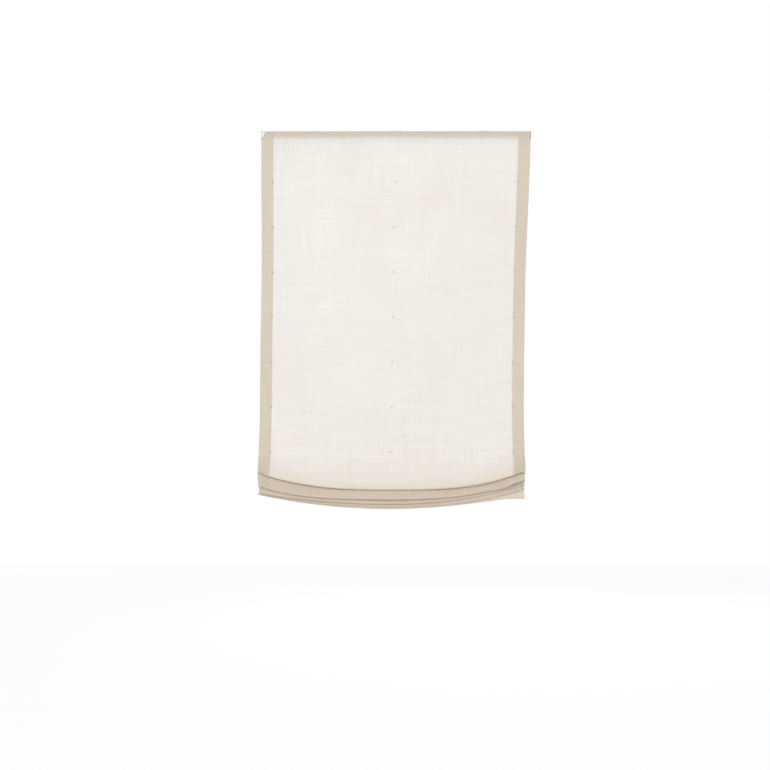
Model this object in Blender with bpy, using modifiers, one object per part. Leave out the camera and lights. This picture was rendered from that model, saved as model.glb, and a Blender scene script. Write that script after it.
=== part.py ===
"""Roman shade, soft folds, partly raised: cloth, rings and lift cords under a steel headrail.

Metres, +Z up. The room is towards -Y. The origin is on the top face of the centre bracket,
which is the plane of the window head, and X runs across the shade.
"""
import math

import bmesh
import bpy
from mathutils import Matrix, Vector

# gap left between any two pieces
GAP = 0.0003

# headrail: a folded steel channel, open at the top between two lips
RAIL_HALF_LENGTH = 0.4555
RAIL_HALF_DEPTH = 0.019
RAIL_HEIGHT = 0.025
RAIL_WALL = 0.001
RAIL_LIP = 0.0055
RAIL_BEND = 0.0014
RAIL_TOP = -0.0015
CAP_THICK = 0.0016
CAP_PLUG = 0.008
CORD_HOLE = 0.0022

# brackets that hook under the two lips
BRACKET_INSET = 0.1555
BRACKET_X = RAIL_HALF_LENGTH - BRACKET_INSET
BRACKET_WIDTH = 0.040
BRACKET_SHEET = 0.0012
BRACKET_SCREW_X = 0.012
BRACKET_SCREW_RADIUS = 0.0021

# hook and loop tape between the rail and the cloth
TAPE_HEIGHT = 0.020
TAPE_THICK = 0.001
TAPE_TOP = -0.0052
TAPE_INSET = 0.0095
TAPE_HALF_LENGTH = RAIL_HALF_LENGTH - TAPE_INSET

# cloth, seen from the room: it ends just inside the rail, draws in at its waist between two
# depths, flares a little to the front loop and spreads in the stack behind it
CLOTH_TOP = -0.0045
CLOTH_INSET = 0.001
WAIST_PULL = 0.0089
WAIST_DEPTHS = (0.02, 0.53)
LOOP_FLARE = 0.0044
FLARE_DEPTHS = (0.95, 1.14)
STACK_SPREAD = 0.0051
CLOTH_HALF_TOP = RAIL_HALF_LENGTH - CLOTH_INSET
CLOTH_HALF_WAIST = CLOTH_HALF_TOP - WAIST_PULL
CLOTH_HALF_LOOP = CLOTH_HALF_WAIST + LOOP_FLARE
CLOTH_HALF_STACK = CLOTH_HALF_WAIST + STACK_SPREAD
CORNER_PULL = 0.015
LEAN = -0.0145
LEAN_DEPTH = 1.083
LEAN_POWER = 1.3
STACK_SHIFT = -0.002
SHIFT_DEPTHS = (1.13, 1.165)
CLOTH_THICK = 0.0006
HEM_THICK = 0.0014
SIDE_HEM = 0.039
TOP_HEM = 0.026
BOTTOM_HEM = 0.051

# rows of rings, counted from the top
FIRST_ROW = 0.1745
ROW_PITCH = 0.1524
FLAT_ROWS = 7
STACK_ROWS = 3
COLUMN_FROM_EDGE = 0.0375
STACK_DROP = 0.1041
STACK_PITCH = 0.008
RING_RADIUS = 0.006
RING_WIRE = 0.00075

# lines of the folds at the middle, below the stack's top ring: three soft loops, the tuck in
# the flap and the bottom edge, and how each one rises towards the left and the right edge
LOOP_DROPS = (0.0209, 0.0541, 0.0703, 0.0812, 0.0880)
LOOP_RISE_LEFT = (0.0576, 0.0432, 0.0367, 0.0450, 0.0490)
LOOP_RISE_RIGHT = (0.0647, 0.0677, 0.0651, 0.0606, 0.0440)
LOOP_POWER_LEFT = (2.7, 3.15, 2.05, 2.2, 2.0)
LOOP_POWER_RIGHT = (3.05, 2.7, 2.1, 2.4, 1.7)
# place across the right half from which each line runs level
LEVEL_FROM = (0.965, 1.0, 1.0, 1.0, 0.87)
# the second loop sags before it kinks up to its right end
KINK_SAG = 0.005
KINK_START = (0.70, 0.86)
KINK_END = (0.862, 0.895)
# how much further forward a loop's turn stands, and where across the cloth
SIDE_LIFT = 0.0035
SIDE_LIFT_AT = (0.15, 0.5)
MIDDLE_LIFT = 0.004
MIDDLE_LIFT_AT = (0.05, 0.25)
KINK_LIFT = 0.011
KINK_LIFT_AT = (0.80, 0.90)
RING_RISE = 0.052
RING_RISE_POWER = 2.3
# how far each layer stands in front of the rings: front and back of each loop, then the
# three layers of the tucked flap
LAYERS = ((0.0395, 0.0335), (0.0280, 0.0224), (0.0172, 0.0126), (0.0082, 0.0060, 0.0012))
TUCK_RISE = 0.014
# the first loop's front, as shares of its reach and drop, and its back above the ring
FRONT_REACH = (0.16, 0.52, 0.92)
FRONT_DROP = (0.27, 0.54, 0.80)
FIRST_BACK = ((0.7, 0.0055), (0.3, 0.0035))
# height of the first loop's back above its ring, as a share of half the edge's height
BACK_FOOT = 0.8
# the way down from a ring to a loop's front, the way back up to the next ring, and the way
# from the last ring to the flap's front: shares of the reach and of half the edge's height
LOOP_TOP = ((0.0, -1.0), (0.0, 1.0), (0.55, 1.3), (1.0, 2.6))
LOOP_RETURN = ((1.0, 1.4), (0.6, -0.9))
FLAP_TOP = ((0.0, -1.0), (0.0, 1.0), (0.8, 1.6), (1.0, 4.8))
# straight below the last flat ring, half height of a fold's back edge at a ring, start of a
# loop's turn above its lowest line, and the corner that shapes the turn
LAST_STRAIGHT = 0.010
EDGE_HALF = 0.0025
TURN_ABOVE = 0.006
TURN_CORNER = 0.0012
# how far a turn's left and right ends are drawn in, where that starts across the cloth, and
# the share of it at the start of the turn
END_TUCK_LEFT = 0.012
END_TUCK_RIGHT = 0.003
END_TUCK_FROM = 0.93
TURN_START = 0.4
PANEL_ROWS = 9
INNER_COLUMNS = 16
# a point of the side view is left out where the cloth would move by less than this
SIDE_DETAIL = 0.0005
# the bottom edge's last row, and where a point of the side view keeps its share of the hem
EDGE_SEAM = 0.001
HEM_SHARE = 4

# lift shaft, spools and cords
CORD_RADIUS = 0.00065
SPOOL_CORE = 0.0068
WIND_RADIUS = 0.0080
WIND_PITCH = 0.0014
WIND_TURNS = 6.56
WIND_STEPS = 12
SPOOL_FLANGE = 0.0090
SPOOL_HALF = 0.022
SPOOL_HUB = 0.0050
SPOOL_SHIFT = 0.018
FLANGE = 0.0013
SHAFT_Z = -0.0139
SHAFT_RADIUS = 0.0035
SHAFT_END = 0.007
CRADLE_HALF = 0.0258
CRADLE_WALL = 0.0018
CRADLE_FLOOR = 0.0015
CRADLE_HALF_DEPTH = 0.0094
CRADLE_TOP = -0.0062
ORB_RADIUS = 0.005
ROUND = 20

# spring motor: the drum on the shaft winds a flat spring over from the storage drum
MOTOR_FROM_BRACKET = 0.100
MOTOR_X = -BRACKET_X + MOTOR_FROM_BRACKET
MOTOR_HALF = 0.0160
MOTOR_WALL = 0.0015
MOTOR_TOP = -0.0054
COVER_SHEET = 0.0012
COVER_SKIRT = 0.0008
COVER_SKIRT_DROP = 0.008
OUTPUT_FLANGE = 0.0080
OUTPUT_CORE = 0.0046
STORE_DEPTH = 0.0030
STORE_HUB = 0.0030
DRUM_GAP = 0.0006
DRUM_CLEAR = 0.0004
BAND_HALF = 0.0118
BAND_THICK = 0.0003
BAND_PITCH = 0.0006
BAND_CLEAR = 0.0005
BAND_RIM = 0.0008
BAND_STEPS = 14

# planes that follow from the sizes above
LAST_FLAT = FIRST_ROW + (FLAT_ROWS - 1) * ROW_PITCH
STACK_TOP = LAST_FLAT + STACK_DROP
HEM_ABOVE = BOTTOM_HEM - 2 * TUCK_RISE - (LOOP_DROPS[4] - LOOP_DROPS[3])
TAPE_BACK = -RAIL_HALF_DEPTH - GAP
CLOTH_BACK = TAPE_BACK - 2 * TAPE_THICK - 2 * GAP
CORD_Y = CLOTH_BACK + GAP + RING_RADIUS
SHAFT_Y = CORD_Y + WIND_RADIUS
RAIL_FLOOR = RAIL_TOP - RAIL_HEIGHT + RAIL_WALL
COVER_INNER = RAIL_HALF_DEPTH - RAIL_WALL - GAP - COVER_SKIRT
MOTOR_HALF_DEPTH = COVER_INNER - GAP
DRUM_ROOM = MOTOR_HALF_DEPTH - DRUM_CLEAR - SHAFT_Y
STORE_FLANGE = (DRUM_ROOM - OUTPUT_FLANGE - DRUM_GAP) / 2
STORE_CORE = STORE_FLANGE - STORE_DEPTH
STORE_Y = MOTOR_HALF_DEPTH - DRUM_CLEAR - STORE_FLANGE

LINEN = (0.74, 0.68, 0.58, 1.0)
TAPE = (0.80, 0.78, 0.74, 1.0)
WHITE_STEEL = (0.80, 0.80, 0.82, 1.0)
ZINC = (0.62, 0.63, 0.65, 1.0)
SPRING_STEEL = (0.42, 0.43, 0.45, 1.0)
WHITE_PLASTIC = (0.85, 0.85, 0.84, 1.0)
GREY_PLASTIC = (0.55, 0.55, 0.56, 1.0)
CORD_WHITE = (0.86, 0.85, 0.82, 1.0)
CLEAR_PLASTIC = (0.88, 0.88, 0.86, 1.0)


def clear():
    """Empties the starting scene."""
    for obj in list(bpy.data.objects):
        bpy.data.objects.remove(obj, do_unlink=True)


def new_collection(name):
    made = bpy.data.collections.new(name)
    bpy.context.scene.collection.children.link(made)
    return made


clear()
PARTS = new_collection("roman_shade")
CUTTERS = new_collection("cutters")


def finish(obj, colour, roughness=0.6, metallic=0.0):
    """Gives a piece its own material, named after it."""
    material = bpy.data.materials.new(obj.name)
    material.use_nodes = True
    shader = material.node_tree.nodes["Principled BSDF"]
    shader.inputs["Base Color"].default_value = colour
    shader.inputs["Roughness"].default_value = roughness
    shader.inputs["Metallic"].default_value = metallic
    obj.data.materials.append(material)
    return obj


def from_bmesh(bm, name, collection=None, at=(0, 0, 0)):
    """Turns a bmesh into an object, with its faces looking outward."""
    if bm.calc_volume(signed=True) < 0:
        bmesh.ops.reverse_faces(bm, faces=bm.faces)
    mesh = bpy.data.meshes.new(name)
    bm.to_mesh(mesh)
    bm.free()
    obj = bpy.data.objects.new(name, mesh)
    obj.location = at
    (collection or PARTS).objects.link(obj)
    return obj


def box(name, xs, ys, zs, collection=None):
    bm = bmesh.new()
    bmesh.ops.create_cube(bm, size=1.0)
    size = (xs[1] - xs[0], ys[1] - ys[0], zs[1] - zs[0])
    middle = (sum(xs) / 2, sum(ys) / 2, sum(zs) / 2)
    bmesh.ops.scale(bm, vec=size, verts=bm.verts)
    bmesh.ops.translate(bm, vec=middle, verts=bm.verts)
    return from_bmesh(bm, name, collection)


def extruded(name, outline, xs, bends=(), bend=0.0):
    """Pushes an outline in the YZ plane along X; the corners named in bends are rounded."""
    bm = bmesh.new()
    corners = [bm.verts.new((xs[0], y, z)) for y, z in outline]
    bm.faces.new(corners)
    if bends:
        bmesh.ops.bevel(
            bm, geom=[corners[i] for i in bends], offset=bend, segments=2,
            profile=0.5, affect="VERTICES",
        )
    pushed = bmesh.ops.extrude_face_region(bm, geom=list(bm.faces))
    moved = [v for v in pushed["geom"] if isinstance(v, bmesh.types.BMVert)]
    bmesh.ops.translate(bm, vec=(xs[1] - xs[0], 0, 0), verts=moved)
    return from_bmesh(bm, name)


def rod(name, radius, sides, low, high, along="X", collection=None, twist=0.0):
    """A prism from low to high along X or Z."""
    bm = bmesh.new()
    bmesh.ops.create_cone(
        bm, cap_ends=True, segments=sides, radius1=radius, radius2=radius, depth=1.0
    )
    start, end = Vector(low), Vector(high)
    turn = Matrix.Rotation(math.radians(twist), 4, "Z")
    if along == "X":
        turn = Matrix.Rotation(math.radians(90), 4, "Y") @ turn
    stretch = Matrix.Diagonal((1, 1, (end - start).length, 1))
    bm.transform(Matrix.Translation((start + end) / 2) @ turn @ stretch)
    return from_bmesh(bm, name, collection)


def cut(obj, cutters):
    """Cuts one object by others, and keeps them hidden as wires."""
    for cutter in cutters:
        cutter.hide_render = True
        cutter.display_type = "WIRE"
        step = obj.modifiers.new(cutter.name, "BOOLEAN")
        step.operation = "DIFFERENCE"
        step.solver = "EXACT"
        step.object = cutter
    return obj


def turned(name, profile, at, steps=ROUND):
    """Turns a profile of (x, radius) points about X through at."""
    bm = bmesh.new()
    chain = [bm.verts.new((x, radius, 0)) for x, radius in profile]
    for a, b in zip(chain, chain[1:]):
        bm.edges.new((a, b))
    obj = from_bmesh(bm, name, at=at)
    spin = obj.modifiers.new("turn", "SCREW")
    spin.axis = "X"
    spin.steps = steps
    spin.render_steps = steps
    spin.use_merge_vertices = True
    spin.merge_threshold = 0.00001
    return obj


def ramp(value, low, high):
    """A smooth step from 0 at low to 1 at high."""
    t = min(1.0, max(0.0, (value - low) / (high - low)))
    return t * t * (3 - 2 * t)


def lean(depth):
    """How far the cloth's middle has drifted sideways at a depth below the window head."""
    turn = math.sin(math.pi / 2 * min(1.0, max(0.0, depth / LEAN_DEPTH)))
    return LEAN * turn ** LEAN_POWER + STACK_SHIFT * ramp(depth, *SHIFT_DEPTHS)


def half_width(depth):
    """Half the flat panel's width at a depth."""
    top = WAIST_PULL * (1 - ramp(depth, *WAIST_DEPTHS))
    return CLOTH_HALF_WAIST + top + LOOP_FLARE * ramp(depth, *FLARE_DEPTHS)


def loop_depth(index, u):
    """Depth of a fold's line, which rises towards both edges."""
    rise, power = LOOP_RISE_LEFT[index], LOOP_POWER_LEFT[index]
    if u > 0:
        rise, power = LOOP_RISE_RIGHT[index], LOOP_POWER_RIGHT[index]
        u = min(u, LEVEL_FROM[index])
    depth = STACK_TOP + LOOP_DROPS[index] - rise * abs(u) ** power
    if index == 1:
        depth += KINK_SAG * ramp(u, *KINK_START) * (1 - ramp(u, *KINK_END))
    return depth


def ring_depth(row, u):
    """Depth of a row of rings: even on the panel, gathered close in the stack."""
    if row < FLAT_ROWS:
        return FIRST_ROW + row * ROW_PITCH
    stacked = STACK_TOP + (row - FLAT_ROWS) * STACK_PITCH
    return stacked - RING_RISE * abs(u) ** RING_RISE_POWER


def loop_lift(index, u):
    """How much further a loop's turn stands off: the first at its sides, the second between."""
    if index == 0:
        return SIDE_LIFT * ramp(abs(u), *SIDE_LIFT_AT)
    if index == 1:
        middle = MIDDLE_LIFT * (1 - ramp(abs(u), *MIDDLE_LIFT_AT))
        return middle + KINK_LIFT * ramp(u, *KINK_LIFT_AT)
    return 0.0


def fold_turn(out, back, low, lift=0.0, way=1):
    """Three points round a fold's turn, with the share of the tuck at its ends."""
    out, back = out + lift, back + lift
    return [
        (out, low - way * TURN_ABOVE, TURN_START),
        ((out + back) / 2, low + way * TURN_CORNER, 1.0),
        (back, low - way * TURN_ABOVE, TURN_START),
    ]


def fold_points(u):
    """Side view of the gathered cloth at u across it.

    Each point is forward, depth, half width, share of the end's tuck, share of the hem.
    """
    last = LAST_FLAT
    low = loop_depth(0, u)
    ring = ring_depth(FLAT_ROWS, u)
    out, back = LAYERS[0]
    points = [(0.0, last + y, half_width(last), 0.0, 0.0) for y in (0.0, LAST_STRAIGHT)]
    front = [
        (reach * out, last + drop * (low - last), 0.0)
        for reach, drop in zip(FRONT_REACH, FRONT_DROP)
    ]
    front += fold_turn(out, back, low, loop_lift(0, u))
    front.append((back, ring + BACK_FOOT * EDGE_HALF, 0.0))
    points += [(y, z, CLOTH_HALF_LOOP, tuck, 0.0) for y, z, tuck in front]
    behind = [(share * back, ring - rise, 0.0) for share, rise in FIRST_BACK]
    for index in (1, 2):
        low = loop_depth(index, u)
        out, back = LAYERS[index]
        behind += [(share * out, ring + y * EDGE_HALF, 0.0) for share, y in LOOP_TOP]
        behind += fold_turn(out, back, low, loop_lift(index, u))
        ring = ring_depth(FLAT_ROWS + index, u)
        behind += [(share * back, ring + y * EDGE_HALF, 0.0) for share, y in LOOP_RETURN]
    low, end = loop_depth(3, u), loop_depth(4, u)
    out, back, rear = LAYERS[3]
    behind += [(share * out, ring + y * EDGE_HALF, 0.0) for share, y in FLAP_TOP]
    points += [(y, z, CLOTH_HALF_STACK, tuck, 0.0) for y, z, tuck in behind]
    flap = [
        (out, low - HEM_ABOVE, 0.0),
        *fold_turn(out, back, low),
        *fold_turn(back, rear, low - TUCK_RISE, way=-1),
        (rear, end - EDGE_SEAM, 0.0),
        (rear, end, 0.0),
    ]
    points += [(y, z, CLOTH_HALF_STACK, tuck, 1.0) for y, z, tuck in flap]
    return points


def softened(points):
    """Cuts the corners of a chain once, and keeps its two ends."""
    out = [points[0]]
    for a, b in zip(points, points[1:]):
        out.append(tuple(p * 0.75 + q * 0.25 for p, q in zip(a, b)))
        out.append(tuple(p * 0.25 + q * 0.75 for p, q in zip(a, b)))
    return out + [points[-1]]


def needed(sides):
    """Which points the side views need, taken together, to keep their shape and the hem."""
    keep = [0]
    for k in range(1, len(sides[0]) - 1):
        before, here, after = (sides[0][k + i][HEM_SHARE] for i in (-1, 0, 1))
        if here != before or here != after:
            keep.append(k)
            continue
        for side in sides:
            a, b = Vector(side[keep[-1]][:2]), Vector(side[k + 1][:2])
            line = (b - a).normalized()
            spans = [Vector(side[i][:2]) - a for i in range(keep[-1] + 1, k + 1)]
            if any(abs(line.x * p.y - line.y * p.x) > SIDE_DETAIL for p in spans):
                keep.append(k)
                break
    return keep + [len(sides[0]) - 1]


def columns():
    """Places across the cloth, from -1 to 1, with a close pair where each side hem ends."""
    hem = 1 - SIDE_HEM / CLOTH_HALF_WAIST
    inner = hem - 0.004
    even = [inner * (2 * i / INNER_COLUMNS - 1) for i in range(INNER_COLUMNS + 1)]
    return [-1.0, -hem] + even + [hem, 1.0], hem


def shade_fabric():
    """The cloth as one open sheet, its back face, thickened towards the room."""
    us, hem = columns()
    start = -CLOTH_TOP
    last = LAST_FLAT
    flat = [start, start + TOP_HEM, start + TOP_HEM + 0.002]
    flat += [start + (last - start) * i / PANEL_ROWS for i in range(1, PANEL_ROWS)]
    bm = bmesh.new()
    thick = bm.verts.layers.deform.verify()
    folds = [softened(fold_points(u)) for u in us]
    kept = needed(folds)
    grid = []
    for u, fold in zip(us, folds):
        side = [(0.0, depth, half_width(depth), 0.0, 0.0) for depth in flat]
        side += [fold[k] for k in kept]
        drawn = END_TUCK_LEFT if u < 0 else -END_TUCK_RIGHT
        drawn *= ramp(abs(u), END_TUCK_FROM, 1.0)
        column = []
        for k, (forward, depth, half, tuck, share) in enumerate(side):
            pull = CORNER_PULL * max(0.0, 1 - (depth - start) / TOP_HEM) if u == -1 else 0
            x = lean(depth) + half * u + pull + drawn * tuck
            vert = bm.verts.new((x, CLOTH_BACK - forward, -depth))
            hemmed = abs(u) >= hem or k < 2 or share > 0.5
            vert[thick][0] = 1.0 if hemmed else CLOTH_THICK / HEM_THICK
            column.append(vert)
        grid.append(column)
    for left, right in zip(grid, grid[1:]):
        for k in range(len(left) - 1):
            bm.faces.new((left[k], left[k + 1], right[k + 1], right[k]))
    mesh = bpy.data.meshes.new("shade_fabric")
    bm.to_mesh(mesh)
    bm.free()
    obj = bpy.data.objects.new("shade_fabric", mesh)
    PARTS.objects.link(obj)
    obj.vertex_groups.new(name="thick")
    shell = obj.modifiers.new("thickness", "SOLIDIFY")
    shell.thickness = HEM_THICK
    shell.offset = 1.0
    shell.vertex_group = "thick"
    return finish(obj, LINEN, 0.9)


def column_place(u_sign, row):
    """X and depth of the ring of one column in one row."""
    edge = CLOTH_HALF_WAIST if row < FLAT_ROWS else CLOTH_HALF_STACK
    u = u_sign * (1 - COLUMN_FROM_EDGE / edge)
    depth = ring_depth(row, u)
    half = half_width(depth) if row < FLAT_ROWS else CLOTH_HALF_STACK
    return lean(depth) + half * u, depth


def rings():
    for name, sign in (("left", -1), ("centre", 0), ("right", 1)):
        for row in range(FLAT_ROWS + STACK_ROWS):
            x, depth = column_place(sign, row)
            bpy.ops.mesh.primitive_torus_add(
                major_radius=RING_RADIUS - RING_WIRE, minor_radius=RING_WIRE,
                major_segments=12, minor_segments=6, location=(x, CORD_Y, -depth),
            )
            ring = bpy.context.object
            ring.name = ring.data.name = f"ring_{name}_{row + 1}"
            for holder in list(ring.users_collection):
                holder.objects.unlink(ring)
            PARTS.objects.link(ring)
            finish(ring, CLEAR_PLASTIC, 0.3)


def cord_route(sign):
    """The turns on the spool, then straight down through the rings of one column."""
    top_x = column_place(sign, 0)[0]
    way = -1 if sign > 0 else 1
    count = round(WIND_TURNS * WIND_STEPS)
    route = []
    for i in range(count, -1, -1):
        turn = 2 * math.pi * i / WIND_STEPS
        x = top_x + way * WIND_PITCH * i / WIND_STEPS
        y = SHAFT_Y - WIND_RADIUS * math.cos(turn)
        z = SHAFT_Z + WIND_RADIUS * math.sin(turn)
        route.append((x, y, z))
    for row in range(FLAT_ROWS + STACK_ROWS):
        x, depth = column_place(sign, row)
        route.append((x, CORD_Y, -depth))
    x, y, z = route[-1]
    route[-1] = (x, y, z - RING_WIRE)
    return route


def lift_cord(name, sign):
    """One lift cord as a round wire along its route."""
    route = cord_route(sign)
    curve = bpy.data.curves.new(name, "CURVE")
    curve.dimensions = "3D"
    curve.bevel_depth = CORD_RADIUS
    curve.bevel_resolution = 1
    curve.use_fill_caps = True
    spline = curve.splines.new("POLY")
    spline.points.add(len(route) - 1)
    for point, place in zip(spline.points, route):
        point.co = (*place, 1.0)
    obj = bpy.data.objects.new(name, curve)
    PARTS.objects.link(obj)
    return finish(obj, CORD_WHITE, 0.8)


def cord_orb(name, sign):
    """The bead that holds a cord's end under the lowest ring."""
    x, depth = column_place(sign, FLAT_ROWS + STACK_ROWS - 1)
    top = -depth - RING_WIRE - GAP
    bm = bmesh.new()
    bmesh.ops.create_uvsphere(bm, u_segments=12, v_segments=8, radius=ORB_RADIUS)
    obj = from_bmesh(bm, name, at=(x, CORD_Y, top - ORB_RADIUS))
    return finish(obj, CLEAR_PLASTIC, 0.3)


def spool_middle(sign):
    """X of a spool's middle: the cord leaves it near its outer end."""
    way = -1 if sign > 0 else 1
    return column_place(sign, 0)[0] + way * SPOOL_SHIFT


def hex_cutter(name, x, half):
    low, high = (x - half, SHAFT_Y, SHAFT_Z), (x + half, SHAFT_Y, SHAFT_Z)
    return rod(name, SHAFT_RADIUS + 1.3 * GAP, 6, low, high, collection=CUTTERS)


def flanged(half, core, flange, hub, reach):
    """Profile of a spool or drum, from right to left: hub, flange, core, flange, hub."""
    right = [(0.0, core), (half, core), (half, flange), (half + FLANGE, flange)]
    right += [(half + FLANGE, hub), (reach, hub), (reach, 0.0)]
    left = [(-x, radius) for x, radius in reversed(right[1:])]
    return list(reversed(left + right[1:]))


def cord_spool(name, sign):
    """A spool with a hexagonal bore, on the lift shaft."""
    x = spool_middle(sign)
    reach = CRADLE_HALF + 0.0008
    profile = flanged(SPOOL_HALF, SPOOL_CORE, SPOOL_FLANGE, SPOOL_HUB, reach)
    obj = turned(name, profile, (x, SHAFT_Y, SHAFT_Z))
    cut(obj, [hex_cutter(name + "_bore", x, reach + 0.002)])
    return finish(obj, WHITE_PLASTIC, 0.45)


def spool_cradle(name, sign):
    """The saddle in the rail that carries a spool and lets its cord down."""
    x = spool_middle(sign)
    cord_x = column_place(sign, 0)[0]
    floor = RAIL_FLOOR + GAP
    xs = (x - CRADLE_HALF, x + CRADLE_HALF)
    ys = (SHAFT_Y - CRADLE_HALF_DEPTH, SHAFT_Y + CRADLE_HALF_DEPTH)
    obj = box(name, xs, ys, (floor, CRADLE_TOP))
    inner = (xs[0] + CRADLE_WALL, xs[1] - CRADLE_WALL)
    far = 0.004
    hollow = box(
        name + "_hollow", inner, (ys[0] - far, ys[1] + far),
        (floor + CRADLE_FLOOR, CRADLE_TOP + far), CUTTERS,
    )
    low, high = (xs[0] - far, SHAFT_Y, SHAFT_Z), (xs[1] + far, SHAFT_Y, SHAFT_Z)
    bore = rod(name + "_bore", SPOOL_HUB + 0.0004, ROUND, low, high, collection=CUTTERS)
    hole = rod(
        name + "_hole", CORD_HOLE, 16, (cord_x, CORD_Y, floor - far),
        (cord_x, CORD_Y, floor + far), "Z", CUTTERS,
    )
    cut(obj, [hollow, bore, hole])
    return finish(obj, GREY_PLASTIC, 0.5)


def headrail():
    """The folded channel, with a hole in its floor for each cord."""
    d, t = RAIL_HALF_DEPTH, RAIL_WALL
    top, low = RAIL_TOP, RAIL_TOP - RAIL_HEIGHT
    lip = d - RAIL_LIP
    outline = [
        (-lip, top), (-d, top), (-d, low), (d, low), (d, top), (lip, top),
        (lip, top - t), (d - t, top - t), (d - t, low + t),
        (t - d, low + t), (t - d, top - t), (-lip, top - t),
    ]
    obj = extruded(
        "headrail", outline, (-RAIL_HALF_LENGTH, RAIL_HALF_LENGTH), (1, 2, 3, 4), RAIL_BEND
    )
    holes = []
    for name, sign in (("left", -1), ("centre", 0), ("right", 1)):
        x = column_place(sign, 0)[0]
        low_end, high_end = (x, CORD_Y, low - 0.003), (x, CORD_Y, low + 0.003)
        holes.append(rod(f"rail_hole_{name}", CORD_HOLE, 16, low_end, high_end, "Z", CUTTERS))
    cut(obj, holes)
    return finish(obj, WHITE_STEEL, 0.4)


def end_cap(name, side):
    """A plate over the rail's end with a plug that goes inside."""
    wide = RAIL_HALF_DEPTH + 0.0004
    top, low = RAIL_TOP + 0.0004, RAIL_TOP - RAIL_HEIGHT - 0.0004
    near = RAIL_HALF_LENGTH + GAP
    xs = sorted((side * near, side * (near + CAP_THICK)))
    bm = bmesh.new()
    bmesh.ops.create_cube(bm, size=1.0)
    bmesh.ops.scale(bm, vec=(CAP_THICK, 2 * wide, top - low), verts=bm.verts)
    bmesh.ops.translate(bm, vec=(sum(xs) / 2, 0, (top + low) / 2), verts=bm.verts)
    bm.faces.ensure_lookup_table()
    inner = min(bm.faces, key=lambda f: side * f.calc_center_median().x)
    inset = RAIL_WALL + 0.0004 + GAP
    bmesh.ops.inset_region(bm, faces=[inner], thickness=inset, use_even_offset=True)
    pushed = bmesh.ops.extrude_face_region(bm, geom=[inner])
    moved = [v for v in pushed["geom"] if isinstance(v, bmesh.types.BMVert)]
    bmesh.ops.translate(bm, vec=(-side * CAP_PLUG, 0, 0), verts=moved)
    bmesh.ops.delete(bm, geom=[inner], context="FACES_ONLY")
    return finish(from_bmesh(bm, name), WHITE_PLASTIC, 0.45)


def bracket(name, x):
    """A bent clip: a plate on the window head with a hook under each lip of the rail."""
    edge, lip = RAIL_HALF_DEPTH - 0.0015, RAIL_HALF_DEPTH - RAIL_LIP
    t = BRACKET_SHEET
    leg = lip - GAP
    hook = RAIL_TOP - RAIL_WALL - GAP
    reach = RAIL_HALF_DEPTH - 0.002
    right = [
        (edge, 0.0), (edge, -t), (leg, -t), (leg, hook), (reach, hook),
        (reach, hook - t), (leg - t, hook - t), (leg - t, -t),
    ]
    outline = right + [(-y, z) for y, z in reversed(right)]
    obj = extruded(name, outline, (x - BRACKET_WIDTH / 2, x + BRACKET_WIDTH / 2))
    holes = []
    for side in (-1, 1):
        sx = x + side * BRACKET_SCREW_X
        holes.append(rod(
            f"{name}_screw_{side + 1}", BRACKET_SCREW_RADIUS, 16,
            (sx, 0, -0.003), (sx, 0, 0.003), "Z", CUTTERS,
        ))
    cut(obj, holes)
    return finish(obj, ZINC, 0.35, 1.0)


def lift_shaft():
    """The rod through all spools, a little longer than the two outer saddles."""
    reach = CRADLE_HALF + SHAFT_END
    low = (spool_middle(-1) - reach, SHAFT_Y, SHAFT_Z)
    high = (spool_middle(1) + reach, SHAFT_Y, SHAFT_Z)
    finish(rod("lift_shaft", SHAFT_RADIUS, 6, low, high), ZINC, 0.3, 1.0)


def spring_motor():
    """Base, cover, two drums and the flat spring between them."""
    floor = RAIL_FLOOR + GAP
    xs = (MOTOR_X - MOTOR_HALF, MOTOR_X + MOTOR_HALF)
    ys = (-MOTOR_HALF_DEPTH, MOTOR_HALF_DEPTH)
    far = 0.004
    base = box("motor_base", xs, ys, (floor, MOTOR_TOP))
    hollow = box(
        "motor_hollow", (xs[0] + MOTOR_WALL, xs[1] - MOTOR_WALL),
        (ys[0] - far, ys[1] + far), (floor + CRADLE_FLOOR, MOTOR_TOP + far), CUTTERS,
    )
    bores = [hollow]
    for name, y, radius in (("output", SHAFT_Y, SPOOL_HUB), ("store", STORE_Y, STORE_HUB)):
        low, high = (xs[0] - far, y, SHAFT_Z), (xs[1] + far, y, SHAFT_Z)
        bores.append(rod(f"motor_bore_{name}", radius + 0.0004, ROUND, low, high,
                         collection=CUTTERS))
    finish(cut(base, bores), GREY_PLASTIC, 0.5)

    top, low = MOTOR_TOP + GAP, MOTOR_TOP + GAP - COVER_SKIRT_DROP
    inner, outer = COVER_INNER, COVER_INNER + COVER_SKIRT
    outline = [
        (-outer, top + COVER_SHEET), (outer, top + COVER_SHEET), (outer, low),
        (inner, low), (inner, top), (-inner, top), (-inner, low), (-outer, low),
    ]
    finish(extruded("motor_cover", outline, xs), GREY_PLASTIC, 0.5)

    half = MOTOR_HALF - MOTOR_WALL - GAP - FLANGE
    reach = MOTOR_HALF + 0.0008
    profile = flanged(half, OUTPUT_CORE, OUTPUT_FLANGE, SPOOL_HUB, reach)
    output = turned("output_drum", profile, (MOTOR_X, SHAFT_Y, SHAFT_Z))
    cut(output, [hex_cutter("output_bore", MOTOR_X, reach + 0.002)])
    finish(output, WHITE_PLASTIC, 0.45)
    profile = flanged(half, STORE_CORE, STORE_FLANGE, STORE_HUB, reach)
    store = turned("storage_drum", profile, (MOTOR_X, STORE_Y, SHAFT_Z))
    finish(store, WHITE_PLASTIC, 0.45)

    spring_band()


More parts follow.
